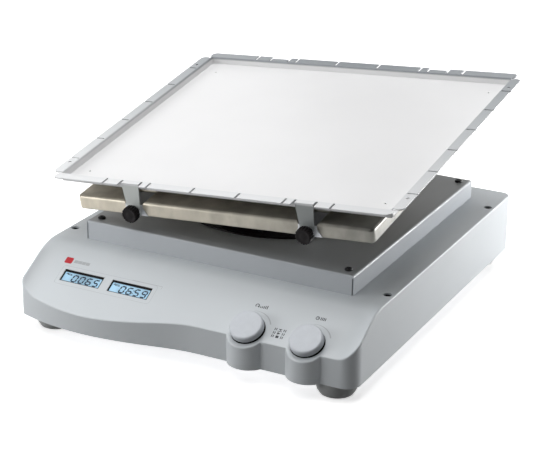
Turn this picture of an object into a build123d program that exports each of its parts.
"""Three-dimensional orbital shaker with a tilting dish platform. All lengths are in millimetres.

The drive axis is the Z axis, the bench is z = 0, and the control panel faces -Y.
Everything on the platform is drawn level around the drive axis, then tipped as one group about
the nutation centre, a point on the drive axis just above the tray.
"""

import os
from math import cos, radians, sin, tan

from build123d import *

# casing
CASE_WIDTH = 370.0
CASE_BACK = 184.8
CASE_FRONT = -219.7
CASE_BOTTOM = 15.5
CASE_TOP = 77.9
CASE_WALL = 3.0
SIDE_RADIUS = 15.0
BACK_RADIUS = 10.0
BULGE_FRONT = -235.6
BOW_CORNER = -221.6
KNOB_X = (69.0, 132.0)
KNOB_Y = -208.5
KNOB_AXIS_Y = -210.4
BOSS_RADIUS = 21.5
PANEL_START = -159.0
PANEL_SLOPE = 29.2
PANEL_HALF = 197.0
PANEL_SIDE_RADIUS = 35.0
SERVICE_OPENING = 236.0
CASE_SCREW_X = 177.5
CASE_SCREW_Y = 132.0
CASE_SCREW_Z = 72.0

# raised sheet-metal deck
DECK_X = 300.6
DECK_Y = 302.0
DECK_TOP = 98.3
SHEET = 1.5
DECK_SCREW = 139.3
SEAL_RADIUS = 112.0

# displays and knobs
DISPLAY_X = (-126.4, -70.3)
DISPLAY_DOWN = 44.9
DISPLAY_WIDTH = 46.2
DISPLAY_HEIGHT = 14.8
WINDOW_WIDTH = 43.8
WINDOW_HEIGHT = 11.5
WINDOW_DOWN = 45.6
KNOB_TILT = 33.0
KNOB_RADIUS = 16.8
KNOB_BOTTOM = 3.7
KNOB_TOP = 10.0
KNOB_SUNK = 1.2

# drive
TILT = 9.0
LOW_SIDE = -120.3
NUTATION_Z = 217.0
MOTOR_Y = 118.0
PULLEY_RADIUS = 52.0
MOTOR_PULLEY_RADIUS = 13.0
BELT_Z = 75.5
SHAFT_GAP = 0.03
GUIDE_CIRCLE = 75.0
GUIDE_ANGLES = (30.0, 150.0, 270.0)

# platform group, drawn level
LIP_Z = 180.0
PLATE_TOP = 159.3
PLATE_BOTTOM = 144.3
PLATE_X = 330.0
PLATE_Y = 328.0
TRAY_X = 390.0
TRAY_Y = 340.0
TRAY_SHEET = 1.2
LIP_WIDTH = 10.5
TRAY_DEPTH = 8.0
NOTCH_WIDTH = 2.4
NOTCH_PITCH_X = 50.5
NOTCH_PITCH_Y = 49.5
CLAMP_X = 97.0
CLAMP_Z = 149.5

# layout lists
FEET = [(-157.9, -199.1), (157.9, -199.1), (-157.9, 161.0), (157.9, 161.0)]
CLAMPS = [(-CLAMP_X, -1), (CLAMP_X, -1), (-CLAMP_X, 1), (CLAMP_X, 1)]
CRANK_SCREW_ANGLES = (LOW_SIDE - 90, LOW_SIDE, LOW_SIDE + 90)
COUNTERWEIGHT_ANGLES = (LOW_SIDE - 40, LOW_SIDE + 40)
MOTOR_SCREWS = [(-21, MOTOR_Y - 12), (21, MOTOR_Y - 12), (-21, MOTOR_Y + 12), (21, MOTOR_Y + 12)]
BRACKET_SCREWS = [(-54, MOTOR_Y - 20), (54, MOTOR_Y - 20), (-54, MOTOR_Y + 20), (54, MOTOR_Y + 20)]

# rear connections: inlet, switch and serial socket as (width, height, x)
REAR_Z = 46.0
INLET_X = -125.0
SWITCH_X = -85.0
SERIAL_X = -45.0
REAR_CUTOUTS = [(27.6, 20.2, INLET_X), (13.6, 19.8, SWITCH_X), (19.4, 11.4, SERIAL_X)]
VENT_X = range(60, 124, 8)
ROCKER_ANGLE = 8.0

low = radians(LOW_SIDE)
tilt_axis = Axis((0, 0, NUTATION_Z), (-sin(low), cos(low), 0))
knob_normal = (0, -sin(radians(KNOB_TILT)), cos(radians(KNOB_TILT)))
panel_normal = (0, -sin(radians(PANEL_SLOPE)), cos(radians(PANEL_SLOPE)))
panel = Plane(origin=(0, PANEL_START, CASE_TOP), x_dir=(1, 0, 0), z_dir=panel_normal).location


def save(shape, name):
    export_step(shape, f"parts/{name}.step")


def tilted(shape):
    return shape.rotate(tilt_axis, TILT)


def cyl(x, y, z, radius, height):
    return Pos(x, y, z + height / 2) * Cylinder(radius, height)


def ring(x, y, z, outer, inner, height):
    return cyl(x, y, z, outer, height) - cyl(x, y, z - 1, inner, height + 2)


def block(x, y, z, size_x, size_y, size_z):
    return Pos(x, y, z + size_z / 2) * Box(size_x, size_y, size_z)


def along_y(x, y, z, radius, length):
    """A cylinder from (x, y, z) running towards -Y."""
    return Pos(x, y - length / 2, z) * Rot(90, 0, 0) * Cylinder(radius, length)


def socket_screw(x, y, z, head, shank, length):
    """A socket-head screw with the underside of its head at z, pointing down."""
    screw = cyl(x, y, z, head, head * 1.1) + cyl(x, y, z - length, shank, length)
    socket = Pos(x, y, z + head * 0.85) * extrude(RegularPolygon(head * 0.55, 6), head)
    return screw - socket


def button_screw(x, y, z, head, shank, length):
    """A low domed screw with a cross recess, the underside of its head at z, pointing down."""
    dome = cyl(x, y, z, head, 2.2)
    dome = fillet(dome.edges().group_by(Axis.Z)[-1], 1.5)
    for turn in (0, 90):
        dome -= Pos(x, y, z + 2.1) * Rot(0, 0, turn) * Box(head * 1.1, 0.9, 1.8)
    return dome + cyl(x, y, z - length, shank, length)


def mirror_xy(x, y):
    return [(-x, -y), (x, -y), (-x, y), (x, y)]


def on_circle(radius, angles):
    return [(radius * cos(radians(a)), radius * sin(radians(a))) for a in angles]


def case_prism(inset, z, height):
    """The casing's plan, drawn in by inset: straight back and sides, bowed left front, two knob bosses."""
    half = CASE_WIDTH / 2 - inset
    back = CASE_BACK - inset
    front = CASE_FRONT + inset
    join_x = 20.0
    corner_y = BOW_CORNER + inset
    bow = Spline(
        (join_x, front), (-33, -227 + inset), (-112, BULGE_FRONT + inset), (-half, corner_y),
        tangents=((-1, 0), (-0.93, 0.37)),
    )
    rest = Polyline((-half, corner_y), (-half, back), (half, back), (half, front), (join_x, front))
    prism = Pos(0, 0, z) * extrude(make_face(Curve() + [bow, rest]), height)
    prism = fillet(vertical_edge(prism, half, front), SIDE_RADIUS - inset)
    prism = fillet(vertical_edge(prism, -half, back) + vertical_edge(prism, half, back), BACK_RADIUS - inset)
    prism = fillet(vertical_edge(prism, -half, corner_y), 8 - inset)
    for x in KNOB_X:
        prism += cyl(x, KNOB_Y, z, BOSS_RADIUS - inset, height)
    return prism


def vertical_edge(solid, x, y):
    return [e for e in solid.edges().filter_by(Axis.Z) if abs(e.center().X - x) + abs(e.center().Y - y) < 2]


def panel_cutter(drop=0.0):
    """The wedge of space in front of and above the sloping panel, with curled-up sides."""
    wedge = Box(2 * PANEL_HALF, 260, 120)
    wedge = fillet(wedge.edges().filter_by(Axis.Y).group_by(Axis.Z)[0], PANEL_SIDE_RADIUS)
    return panel * Pos(0, 0, 60 - drop) * wedge


def knob_frame(x):
    """Location at the floor of a knob's recess, with Z along the knob's axis."""
    surface_z = CASE_TOP + (KNOB_AXIS_Y - PANEL_START) * tan(radians(PANEL_SLOPE))
    origin = (x, KNOB_AXIS_Y - KNOB_SUNK * knob_normal[1], surface_z - KNOB_SUNK * knob_normal[2])
    return Plane(origin=origin, x_dir=(1, 0, 0), z_dir=knob_normal).location


def break_edges(solid):
    """The edges where the flat top turns down into the panel."""
    top = [e for e in solid.edges() if abs(e.center().Z - CASE_TOP) < 0.01]
    front = [e for e in top if e.center().Y < PANEL_START + 1]
    return [e for e in front if e.geom_type in (GeomType.LINE, GeomType.ELLIPSE)]


def rim_edges(solid):
    """Every edge along the top of the upright walls."""
    walls = [f for f in solid.faces() if abs(f.normal_at(f.center()).Z) < 0.01]
    found = []
    for edge in solid.edges():
        upright = edge.geom_type == GeomType.LINE and abs((edge @ 1 - edge @ 0).normalized().Z) > 0.99
        if upright or edge.center().Z < CASE_BOTTOM + 0.5:
            continue
        if any(f.distance_to(edge @ 0.5) < 1e-4 for f in walls):
            found.append(edge)
    return found


def make_casing():
    height = CASE_TOP - CASE_BOTTOM
    outer = case_prism(0, CASE_BOTTOM, height) - panel_cutter()
    outer = fillet(break_edges(outer), 30)
    outer = fillet(rim_edges(outer), 1.4)
    inner = case_prism(CASE_WALL, CASE_BOTTOM - 1, height + 1 - CASE_WALL) - panel_cutter(CASE_WALL)
    shell = outer - inner

    shell -= block(0, 12, CASE_TOP - 10, SERVICE_OPENING, SERVICE_OPENING + 24, 20)
    for x in DISPLAY_X:
        shell -= panel * Pos(x, -DISPLAY_DOWN, 0) * Box(DISPLAY_WIDTH, DISPLAY_HEIGHT, 20)
    for x in KNOB_X:
        shell += floor_pad(x) & case_prism(0.5, CASE_BOTTOM, height) - panel_cutter()
        shell -= knob_frame(x) * cyl(0, 0, 0, KNOB_RADIUS + 0.5, 30)
        shell -= knob_frame(x) * cyl(0, 0, -20, 3.6, 40)
    for x, y in mirror_xy(CASE_SCREW_X, CASE_SCREW_Y):
        shell += cyl(x, y, 18.6, 6.2, CASE_TOP - 20)
        shell -= cyl(x, y, CASE_SCREW_Z, 4.3, 30)
        shell -= cyl(x, y, 10, 2.0, 65)
    for size_x, size_z, x in REAR_CUTOUTS:
        shell -= block(x, CASE_BACK, REAR_Z - size_z / 2, size_x, 20, size_z)
    for x in VENT_X:
        shell -= block(x, CASE_BACK, 34, 3, 20, 26)
    return shell


def floor_pad(x):
    """The thick web that carries one knob's recess."""
    return knob_frame(x) * cyl(0, 0, -3, KNOB_RADIUS + 4, 6)


def make_deck():
    outer = block(0, 0, CASE_TOP, DECK_X, DECK_Y, DECK_TOP - CASE_TOP)
    outer = fillet(outer.edges().group_by(Axis.Z)[-1], 2.2)
    inner = block(0, 0, CASE_TOP - 1, DECK_X - 2 * SHEET, DECK_Y - 2 * SHEET, DECK_TOP - CASE_TOP + 1 - SHEET)
    deck = outer - inner
    for x, y in mirror_xy(DECK_X / 2, DECK_Y / 2):
        seam_x = x - 1.2 * (1 if x > 0 else -1)
        deck -= block(seam_x, y, CASE_TOP - 1, 1.2, 6, DECK_TOP - CASE_TOP - 1.5)
    deck -= cyl(0, 0, 90, 32, 20)
    for x, y in on_circle(GUIDE_CIRCLE, GUIDE_ANGLES):
        deck -= cyl(x, y, 90, 26.8, 20)
        for turn in (45, 135, 225, 315):
            deck -= Pos(x, y, 0) * Rot(0, 0, turn) * cyl(30.2, 0, 90, 1.6, 20)
    for x, y in mirror_xy(DECK_SCREW, DECK_SCREW):
        deck -= cyl(x, y, 90, 2.2, 20)
    return deck


def make_deck_seal():
    """Thin black apron on the deck around the crank opening and the three guide cups."""
    seal = cyl(0, 0, DECK_TOP, SEAL_RADIUS, 1.6) - cyl(0, 0, 90, 36, 20)
    seal = fillet(seal.edges().filter_by(GeomType.CIRCLE).group_by(Axis.Z)[-1].sort_by(SortBy.RADIUS)[-1], 0.6)
    for x, y in on_circle(GUIDE_CIRCLE, GUIDE_ANGLES):
        seal -= cyl(x, y, 90, 33.3, 20)
    return seal


def make_deck_brackets():
    """Four folded tabs under the deck corners that take its screws."""
    tabs = []
    for x, y in mirror_xy(DECK_SCREW, DECK_SCREW):
        tab = block(x, y, CASE_TOP, 16, 16, DECK_TOP - SHEET - CASE_TOP)
        tab -= block(x, y, CASE_TOP + 2, 20, 12, DECK_TOP - SHEET - CASE_TOP - 4)
        tab -= cyl(x, y, CASE_TOP + 5, 1.6, 30)
        tabs.append(tab)
    return Compound(tabs)


def make_base_plate():
    plate = case_prism(CASE_WALL + 0.4, 16.5, 2)
    for x, y in FEET:
        plate -= cyl(x, y, 10, 2.1, 20)
    for x, y in mirror_xy(CASE_SCREW_X, CASE_SCREW_Y):
        plate -= cyl(x, y, 10, 1.95, 20)
    for x in VENT_X:
        plate -= block(-x, -100, 10, 3, 60, 20)
    return plate


def make_foot():
    """Bowl-shaped rubber foot with a counterbore for its screw."""
    profile = Polyline(
        (0, 0), (13, 0), (16.5, 1.2), (19.2, 5.5), (20.4, 11), (20.5, 15.3), (14, 15.3), (14, 16.5), (0, 16.5), (0, 0)
    )
    foot = revolve(Plane.XZ * make_face(profile), Axis.Z)
    foot -= cyl(0, 0, -1, 5, 8)
    foot -= cyl(0, 0, -1, 2.1, 20)
    return foot


def make_bearing_housing():
    body = cyl(0, 0, 23.5, 52, 6) + cyl(0, 0, 23.5, 28, 48)
    for turn in range(0, 360, 60):
        body += Rot(0, 0, turn) * block(36, 0, 29, 20, 5, 22)
    body -= cyl(0, 0, 20, 13, 60)
    body -= cyl(0, 0, 27, 21, 12)
    body -= cyl(0, 0, 59.5, 21, 14)
    for x, y in on_circle(45, (30, 150, 210, 330)):
        body -= cyl(x, y, 20, 2.6, 20)
    return body


def make_spindle():
    spindle = cyl(0, 0, 26, 10, 76) + cyl(0, 0, 100.5, 28, 5)
    for x, y in on_circle(21, CRANK_SCREW_ANGLES):
        spindle -= cyl(x, y, 95, 1.5, 20)
    return spindle


def grooved_pulley(radius, bore, hub_radius, hub_height):
    """Belt pulley standing on z = 0: two thin flanges, a belt track and a clamping hub."""
    pulley = cyl(0, 0, 0, radius, 12)
    for z in (0, 11):
        pulley += cyl(0, 0, z, radius + 3, 1)
    pulley += cyl(0, 0, -hub_height, hub_radius, hub_height)
    return pulley - cyl(0, 0, -hub_height - 1, bore, hub_height + 20)


def make_drive_pulley():
    pulley = grooved_pulley(PULLEY_RADIUS, 10, 18, 2)
    for turn in range(0, 360, 60):
        pulley -= Rot(0, 0, turn) * cyl(33, 0, -1, 11, 20)
    return Pos(0, 0, BELT_Z) * pulley


def belt_loop(gap):
    big = Circle(PULLEY_RADIUS + gap)
    small = Pos(0, MOTOR_Y) * Circle(MOTOR_PULLEY_RADIUS + gap)
    return make_hull(big.edges() + small.edges())


def make_belt():
    band = belt_loop(2.1) - belt_loop(0.3)
    return Pos(0, 0, BELT_Z + 1.5) * extrude(band, 9)


def make_motor_bracket():
    plate = block(0, MOTOR_Y, 70.5, 96, 62, 3.5)
    for x in (-44, 44):
        plate += block(x, MOTOR_Y, 23.5, 4, 62, 48)
        plate += block(x * 1.18, MOTOR_Y, 23.5, 20, 62, 3)
    plate -= cyl(0, MOTOR_Y, 60, 9, 20)
    for x, y in MOTOR_SCREWS:
        plate -= cyl(x, y, 60, 1.7, 20)
    for x, y in BRACKET_SCREWS:
        plate -= cyl(x, y, 20, 2.2, 12)
    return plate


def make_motor():
    can = cyl(0, MOTOR_Y, 26, 30, 44.5)
    can = fillet(can.edges().group_by(Axis.Z)[0], 3)
    can += block(0, MOTOR_Y + 31, 30, 18, 8, 12)
    can -= cyl(0, MOTOR_Y, 45, 4 + SHAFT_GAP, 40)
    for x, y in MOTOR_SCREWS:
        can -= cyl(x, y, 60, 1.3, 20)
    return can


def make_crank_head():
    """Disc on the spindle whose raised boss leans with the platform."""
    disc = cyl(0, 0, 105.5, 42, 6)
    disc = chamfer(disc.edges().filter_by(GeomType.CIRCLE), 0.8)
    boss = tilted(cyl(0, 0, 104, 13, 10.5)) - cyl(0, 0, 90, 60, 17)
    head = disc + boss
    head -= tilted(cyl(0, 0, 107.5, 7.5, 20))
    for x, y in on_circle(21, CRANK_SCREW_ANGLES):
        head -= cyl(x, y, 100, 1.8, 20)
        head -= cyl(x, y, 108.5, 3.3, 20)
    for x, y in on_circle(34, COUNTERWEIGHT_ANGLES):
        head -= cyl(x, y, 100, 1.6, 20)
    return head


def make_counterweight():
    weight = ring(0, 0, 111.5, 41, 25, 12)
    weight &= Rot(0, 0, LOW_SIDE) * block(40, 0, 111, 70, 74, 20)
    for x, y in on_circle(34, COUNTERWEIGHT_ANGLES):
        weight -= cyl(x, y, 100, 1.7, 40)
    return weight


def make_hub():
    hub = cyl(0, 0, 139.3, 88, 5) + cyl(0, 0, 118.3, 26, 22)
    hub = chamfer(hub.edges().group_by(Axis.Z)[0], 1)
    hub -= cyl(0, 0, 118, 16, 40)
    for turn in (-30, 90, 210):
        hub -= Rot(0, 0, turn) * cyl(62, 0, 130, 14, 30)
    for x, y in on_circle(40, range(0, 360, 60)):
        hub -= cyl(x, y, 130, 2.2, 30)
    for x, y in on_circle(GUIDE_CIRCLE, GUIDE_ANGLES):
        hub -= cyl(x, y, 130, 3, 30)
    return tilted(hub)


def clamp_slot(side):
    """Cutter for the flared notch at one end of a clamp channel; side is -1 for the front."""
    top = 10.0
    bottom = 15.0
    mouth = Polyline(
        (-bottom, PLATE_BOTTOM - 0.1), (bottom, PLATE_BOTTOM - 0.1), (top, 153), (top, PLATE_TOP + 0.1),
        (-top, PLATE_TOP + 0.1), (-top, 153), (-bottom, PLATE_BOTTOM - 0.1),
    )
    return Pos(0, side * (PLATE_Y / 2 - 14.5), 0) * extrude(Plane.XZ * make_face(mouth), 15, both=True)


def make_plate():
    plate = block(0, 0, PLATE_BOTTOM, PLATE_X, PLATE_Y, PLATE_TOP - PLATE_BOTTOM)
    plate = fillet(plate.edges().filter_by(Axis.Z), 5)
    for x, side in CLAMPS:
        plate -= Pos(x, 0, 0) * clamp_slot(side)
    long_edges = plate.edges().group_by(Axis.Z)[-1]
    plate = fillet(long_edges, 3.2)
    plate = fillet(plate.edges().group_by(Axis.Z)[0], 1.2)
    plate -= cyl(0, 0, PLATE_BOTTOM - 1, 18, 7)
    for x, y in on_circle(40, range(0, 360, 60)):
        plate -= cyl(x, y, PLATE_BOTTOM - 1, 1.6, 11)
    return tilted(plate)


def make_clamp_blocks():
    blocks = []
    for x, side in CLAMPS:
        wedge = Polyline(
            (-14.7, PLATE_BOTTOM + 0.4), (14.7, PLATE_BOTTOM + 0.4), (10, 153), (10, 156.5),
            (-10, 156.5), (-10, 153), (-14.7, PLATE_BOTTOM + 0.4),
        )
        solid = extrude(Plane.XZ * make_face(wedge), 14, both=True)
        solid = Pos(0, side * (PLATE_Y / 2 - 13.4), 0) * solid
        hole = side * (PLATE_Y / 2 + 1)
        solid -= Pos(0, hole, CLAMP_Z) * Rot(90, 0, 0) * Cylinder(2.5 + SHAFT_GAP, 44)
        blocks.append(Pos(x, 0, 0) * solid)
    return tilted(Compound(blocks))


def make_tray():
    """Pressed dish tray: flat floor, low walls, a notched flat lip and four legs bent down from it."""
    wall_x = TRAY_X - 2 * LIP_WIDTH
    wall_y = TRAY_Y - 2 * LIP_WIDTH
    floor_z = LIP_Z - TRAY_DEPTH
    outside = Pos(0, 0, floor_z - TRAY_SHEET) * extrude(
        RectangleRounded(wall_x, wall_y, 2.5), TRAY_DEPTH + TRAY_SHEET
    )
    inside = Pos(0, 0, floor_z) * extrude(
        RectangleRounded(wall_x - 2 * TRAY_SHEET, wall_y - 2 * TRAY_SHEET, 1.3), 20
    )
    outside = fillet(outside.edges().group_by(Axis.Z)[0], 2.0)
    inside = fillet(inside.edges().group_by(Axis.Z)[0], 0.8)
    tray = outside - inside

    lip_z = LIP_Z - TRAY_SHEET
    reach = LIP_WIDTH + TRAY_SHEET
    for side in (-1, 1):
        strip = Pos(0, side * (TRAY_Y - reach) / 2, lip_z) * extrude(
            RectangleRounded(374, reach, 5.5), TRAY_SHEET
        )
        strip += Pos(side * (TRAY_X - reach) / 2, 0, lip_z) * extrude(
            RectangleRounded(reach, 314, 5.5), TRAY_SHEET
        )
        for step in (-2.5, -1.5, -0.5, 0.5, 1.5, 2.5):
            strip -= block(
                step * NOTCH_PITCH_X, side * (TRAY_Y / 2), lip_z - 1, NOTCH_WIDTH, 2 * LIP_WIDTH - 0.6, 4
            )
            strip -= block(
                side * (TRAY_X / 2), step * NOTCH_PITCH_Y, lip_z - 1, 2 * LIP_WIDTH - 0.6, NOTCH_WIDTH, 4
            )
        for x in (-CLAMP_X, CLAMP_X):
            strip -= block(x, side * (TRAY_Y / 2), lip_z - 1, 25, 2 * LIP_WIDTH - 0.6, 4)
        for y in (-133.5, 133.5):
            strip -= cyl(side * 189.5, y, lip_z - 1, 1.75, 4)
        tray += strip - inside
    for x, side in CLAMPS:
        tray += Pos(x, 0, 0) * tray_leg(side)
    tray = fillet(mouth_edges(tray), 1.1)
    for x, y in mirror_xy(166, 134):
        tray -= cyl(x, y, floor_z - 3, 1.1, 6)
    return tilted(tray)


def mouth_edges(tray):
    """The edges where the tray's walls turn out into its lip."""
    half_x = TRAY_X / 2 - LIP_WIDTH - TRAY_SHEET + 0.1
    half_y = TRAY_Y / 2 - LIP_WIDTH - TRAY_SHEET + 0.1
    top = [e for e in tray.edges() if abs(e.center().Z - LIP_Z) < 0.01]
    return [e for e in top if abs(e.center().X) < half_x and abs(e.center().Y) < half_y]


def tray_leg(side):
    """One leg: a short shelf out from the wall top, then a tapering strip down to the clamp."""
    outer = PLATE_Y / 2 + 1.8
    wall = TRAY_Y / 2 - LIP_WIDTH
    bottom = 144.6
    outline = Polyline(
        (-9.9, LIP_Z), (9.9, LIP_Z), (6.8, bottom), (-6.8, bottom), (-9.9, LIP_Z)
    )
    leg = extrude(Plane.XZ * make_face(outline), TRAY_SHEET)
    leg = Pos(0, outer if side > 0 else -outer + TRAY_SHEET, 0) * leg
    middle = (outer + wall - TRAY_SHEET) / 2
    leg += block(0, side * middle, LIP_Z - TRAY_SHEET, 19.8, outer - wall + TRAY_SHEET, TRAY_SHEET)
    leg -= Pos(0, side * outer, CLAMP_Z) * Rot(90, 0, 0) * Cylinder(2.9, 10)
    return leg


def make_thumb_screw(side):
    """Ribbed thumb knob with its screw, drawn at x = 0."""
    face = PLATE_Y / 2 + 3.1
    knob = Cylinder(8.6, 9.2)
    knob = fillet(knob.edges().filter_by(GeomType.CIRCLE).sort_by(Axis.Z)[-1], 1.6)
    for turn in range(0, 360, 24):
        knob -= Rot(0, 0, turn) * Pos(9.2, 0, 0) * Cylinder(1.1, 12)
    knob = Pos(0, 0, 4.6) * knob + cyl(0, 0, -13, 2.5, 14)
    return Pos(0, side * face, CLAMP_Z) * Rot(-90 * side, 0, 0) * knob


def make_washer(side):
    face = PLATE_Y / 2 + 1.9
    washer = Cylinder(7, 1) - Cylinder(2.7, 3)
    return Pos(0, side * (face + 0.5), CLAMP_Z) * Rot(90, 0, 0) * washer


def make_knob():
    """Turning and pressing knob drawn on the recess floor, Z along its axis."""
    profile = Polyline(
        (0, KNOB_BOTTOM), (KNOB_RADIUS, KNOB_BOTTOM), (KNOB_RADIUS - 0.2, KNOB_TOP), (0, KNOB_TOP + 0.2),
        (0, KNOB_BOTTOM),
    )
    knob = revolve(Plane.XZ * make_face(profile), Axis.Z)
    knob = fillet(knob.edges().filter_by(GeomType.CIRCLE).group_by(Axis.Z)[-1], 2.2)
    knob -= ring(0, 0, 0, 14.5, 6.0, KNOB_BOTTOM + 2.6)
    return knob - cyl(0, 0, 0, 3 + SHAFT_GAP, 8.6)


def make_encoder():
    """Rotary encoder under the panel, its threaded bushing and the nut that clamps it."""
    body = block(0, 0, -10.2, 12.5, 13.5, 7.1) + cyl(0, 0, -3.5, 3.5, 6.0)
    body += extrude(RegularPolygon(5.6, 6), 2)
    return body - cyl(0, 0, -8, 3 + SHAFT_GAP, 20)


def make_display_bezel(x):
    frame = Box(DISPLAY_WIDTH - 0.4, DISPLAY_HEIGHT - 0.4, 2.9)
    frame = Pos(0, 0, -1.95) * frame + Pos(0, 0, -4.2) * Box(51, 19, 1.9)
    frame -= Pos(0, DISPLAY_DOWN - WINDOW_DOWN, 0) * Box(WINDOW_WIDTH, WINDOW_HEIGHT, 20)
    return panel * Pos(x, -DISPLAY_DOWN, 0) * frame


def make_display_pane(x):
    return panel * Pos(x, -WINDOW_DOWN, -2) * Box(WINDOW_WIDTH, WINDOW_HEIGHT, 1.6)


def make_display_module(x):
    return panel * Pos(x, -DISPLAY_DOWN, -7.25) * Box(48, 16, 4.2)


def make_display_board():
    return panel * Pos(-98.3, -DISPLAY_DOWN, -10.15) * Box(124, 24, 1.6)


def make_power_inlet():
    """Three-pin panel inlet with a flange outside the rear wall."""
    body = block(INLET_X, CASE_BACK - 11, REAR_Z - 9.9, 27.2, 22, 19.8)
    body += block(INLET_X, CASE_BACK + 0.8, REAR_Z - 12, 31.6, 1.6, 24)
    body -= block(INLET_X, CASE_BACK - 6, REAR_Z - 8, 24, 16, 16)
    for x, z in ((-7, 1.6), (7, 1.6), (0, -3)):
        body += block(INLET_X + x, CASE_BACK - 9, REAR_Z + z - 1.3, 2, 14, 2.6)
    return body


def make_switch_body():
    body = block(SWITCH_X, CASE_BACK - 9, REAR_Z - 9.7, 13.2, 18, 19.4)
    body += block(SWITCH_X, CASE_BACK + 0.6, REAR_Z - 10.8, 15.6, 1.2, 21.6)
    return body - block(SWITCH_X, CASE_BACK - 5, REAR_Z - 8.7, 10.6, 20, 17.4)


def make_rocker():
    """Rocker standing at its off stop; it turns about the X axis through its middle."""
    profile = Polyline((-8, -1), (-8, 4.2), (0, 3.2), (8, 4.2), (8, -1), (0, -4), (-8, -1))
    rocker = Rot(0, 0, 90) * Rot(90, 0, 0) * extrude(make_face(profile), 5, both=True)
    return Pos(SWITCH_X, CASE_BACK - 2.6, REAR_Z) * Rot(ROCKER_ANGLE, 0, 0) * rocker


def make_serial_port():
    body = block(SERIAL_X, CASE_BACK - 6, REAR_Z - 5.5, 19, 12, 11)
    body += block(SERIAL_X, CASE_BACK + 0.4, REAR_Z - 6.3, 31, 0.8, 12.6)
    body += block(SERIAL_X, CASE_BACK + 2.4, REAR_Z - 4.2, 16.6, 4.8, 8.4)
    return body - block(SERIAL_X, CASE_BACK + 2, REAR_Z - 3.4, 15, 8, 6.8)


def make_power_supply():
    """Open-frame supply: board, transformer and capacitors on a folded tray."""
    tray = block(-118, 98, 18.5, 96, 104, 1.5)
    board = block(-118, 98, 25, 90, 98, 1.6)
    for x, y in ((-158, 54), (-78, 54), (-158, 142), (-78, 142)):
        board += cyl(x, y, 20, 2.5, 5)
    parts = block(-130, 108, 26.6, 34, 30, 28) + cyl(-98, 78, 26.6, 9, 27) + cyl(-140, 74, 26.6, 6, 20)
    parts += block(-98, 122, 26.6, 20, 42, 18)
    return tray + board + parts


def make_control_board():
    board = block(118, 30, 26, 92, 150, 1.6)
    for x, y in ((78, -38), (158, -38), (78, 98), (158, 98)):
        board += cyl(x, y, 18.5, 3, 7.5)
    board += block(118, 10, 27.6, 16, 16, 2.4) + block(96, 60, 27.6, 26, 12, 9)
    board += block(140, 70, 27.6, 12, 30, 11) + block(144, -10, 27.6, 14, 34, 18)
    board += cyl(98, -14, 27.6, 6, 16) + cyl(98, 4, 27.6, 6, 16)
    return board


def foot_screw(x, y):
    """Screw up through a foot and the base plate, with its nut."""
    screw = cyl(x, y, 2.4, 4.4, 4.6) + cyl(x, y, 7, 2.05, 17)
    screw -= Pos(x, y, 1) * extrude(RegularPolygon(2.4, 6), 4)
    return screw + Pos(x, y, 18.5) * extrude(RegularPolygon(4.2, 6), 3.4)


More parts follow.
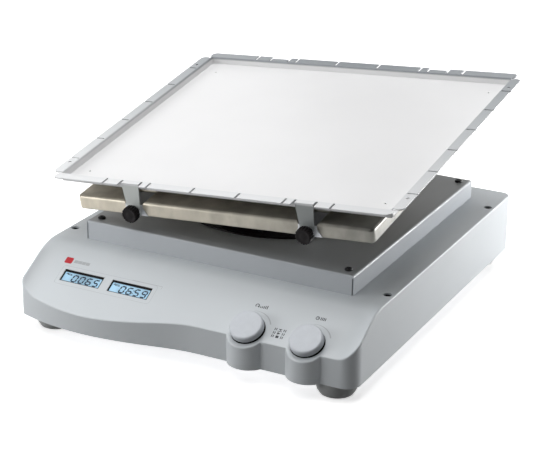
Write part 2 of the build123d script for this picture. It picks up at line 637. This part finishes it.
def build():
    save(make_casing(), "casing")
    save(make_deck(), "deck")
    save(make_deck_seal(), "deck_seal")
    save(make_deck_brackets(), "deck_brackets")
    deck_screws = [button_screw(x, y, DECK_TOP, 3.9, 1.6, 12) for x, y in mirror_xy(DECK_SCREW, DECK_SCREW)]
    save(Compound(deck_screws), "deck_screws")
    case_screws = [socket_screw(x, y, CASE_SCREW_Z, 4.0, 1.9, 55) for x, y in mirror_xy(CASE_SCREW_X, CASE_SCREW_Y)]
    save(Compound(case_screws), "casing_screws")
    save(make_base_plate(), "base_plate")
    save(Compound([Pos(x, y, 0) * make_foot() for x, y in FEET]), "feet")
    save(Compound([foot_screw(x, y) for x, y in FEET]), "foot_screws")

    drive_plate = block(0, 48, 18.5, 132, 250, 5)
    for x, y in on_circle(45, (30, 150, 210, 330)) + BRACKET_SCREWS:
        drive_plate -= cyl(x, y, 10, 2.0, 20)
    save(drive_plate, "drive_plate")
    save(make_bearing_housing(), "bearing_housing")
    save(Compound([ring(0, 0, z, 21, 10 + SHAFT_GAP, 12) for z in (27, 59.5)]), "spindle_bearings")
    bolts = [socket_screw(x, y, 29.5, 4.0, 2.0, 10) for x, y in on_circle(45, (30, 150, 210, 330))]
    bolts += [socket_screw(x, y, 26.5, 3.5, 2.0, 7) for x, y in BRACKET_SCREWS]
    bolts += [socket_screw(x, y, 74, 2.6, 1.3, 8) for x, y in MOTOR_SCREWS]
    save(Compound(bolts), "drive_screws")
    save(make_spindle(), "spindle")
    save(make_drive_pulley(), "drive_pulley")
    save(make_belt(), "belt")
    save(make_motor_bracket(), "motor_bracket")
    save(make_motor(), "motor")
    save(cyl(0, MOTOR_Y, 46, 4, 43), "motor_shaft")
    save(Pos(0, MOTOR_Y, BELT_Z) * grooved_pulley(MOTOR_PULLEY_RADIUS, 4, 9, 1), "motor_pulley")

    save(make_crank_head(), "crank_head")
    screws = [socket_screw(x, y, 108.5, 2.8, 1.5, 9) for x, y in on_circle(21, CRANK_SCREW_ANGLES)]
    save(Compound(screws), "crank_screws")
    save(make_counterweight(), "counterweight")
    screws = [socket_screw(x, y, 123.5, 2.8, 1.6, 16) for x, y in on_circle(34, COUNTERWEIGHT_ANGLES)]
    save(Compound(screws), "counterweight_screws")
    save(tilted(cyl(0, 0, 107.5, 7.5, 33)), "crank_pin")
    retainer = cyl(0, 0, 140.5, 11, 1.5) + cyl(0, 0, 142, 4, 4)
    save(tilted(retainer), "pin_retainer")

    save(make_hub(), "hub")
    save(tilted(Compound([ring(0, 0, z, 16, 7.5 + SHAFT_GAP, 9) for z in (119.5, 131)])), "hub_bearings")
    screws = [
        Pos(x, y, 139.3) * Rot(180, 0, 0) * socket_screw(0, 0, 0, 3.2, 1.6, 13)
        for x, y in on_circle(40, range(0, 360, 60))
    ]
    save(tilted(Compound(screws)), "hub_screws")
    guide_spots = on_circle(GUIDE_CIRCLE, GUIDE_ANGLES)
    save(tilted(Compound([cyl(x, y, 100.5, 3, 43.5) for x, y in guide_spots])), "guide_pins")
    save(tilted(Compound([ring(x, y, 101.5, 4.5, 3, 7) for x, y in guide_spots])), "guide_sleeves")
    cups = []
    cup_screws = []
    for x, y in guide_spots:
        cup = ring(x, y, 92, 26.5, 24, 28) + ring(x, y, DECK_TOP, 33, 24, 2)
        for turn in (45, 135, 225, 315):
            cup -= Pos(x, y, 0) * Rot(0, 0, turn) * cyl(30.2, 0, 90, 1.5, 20)
            spot = Pos(x, y, 0) * Rot(0, 0, turn) * Pos(30.2, 0, 0)
            cup_screws.append(spot * socket_screw(0, 0, DECK_TOP + 2, 2.4, 1.45, 6))
        cups.append(cup)
    save(Compound(cups), "guide_cups")
    save(Compound(cup_screws), "guide_cup_screws")

    save(make_plate(), "platform_plate")
    save(make_clamp_blocks(), "clamp_blocks")
    save(make_tray(), "tray")
    names = ("front_left", "front_right", "back_left", "back_right")
    for name, (x, side) in zip(names, CLAMPS):
        save(tilted(Pos(x, 0, 0) * make_thumb_screw(side)), f"thumb_screw_{name}")
        save(tilted(Pos(x, 0, 0) * make_washer(side)), f"washer_{name}")

    for name, x in zip(("speed", "time"), KNOB_X):
        save(knob_frame(x) * make_knob(), f"{name}_knob")
        save(knob_frame(x) * cyl(0, 0, -6, 3, 14.4), f"{name}_shaft")
    save(Compound([knob_frame(x) * ring(0, 0, 0, KNOB_RADIUS + 0.2, 6.2, 1.2) for x in KNOB_X]), "knob_bezels")
    save(Compound([knob_frame(x) * make_encoder() for x in KNOB_X]), "encoders")
    save(Compound([make_display_bezel(x) for x in DISPLAY_X]), "display_bezels")
    save(Compound([make_display_pane(x) for x in DISPLAY_X]), "display_panes")
    save(Compound([make_display_module(x) for x in DISPLAY_X]), "display_modules")
    save(make_display_board(), "display_board")
    save(make_power_inlet(), "power_inlet")
    save(make_switch_body(), "switch_body")
    save(make_rocker(), "power_rocker")
    save(make_serial_port(), "serial_port")
    save(make_power_supply(), "power_supply")
    save(make_control_board(), "control_board")


if __name__ == "__main__":
    os.makedirs("parts", exist_ok=True)
    build()
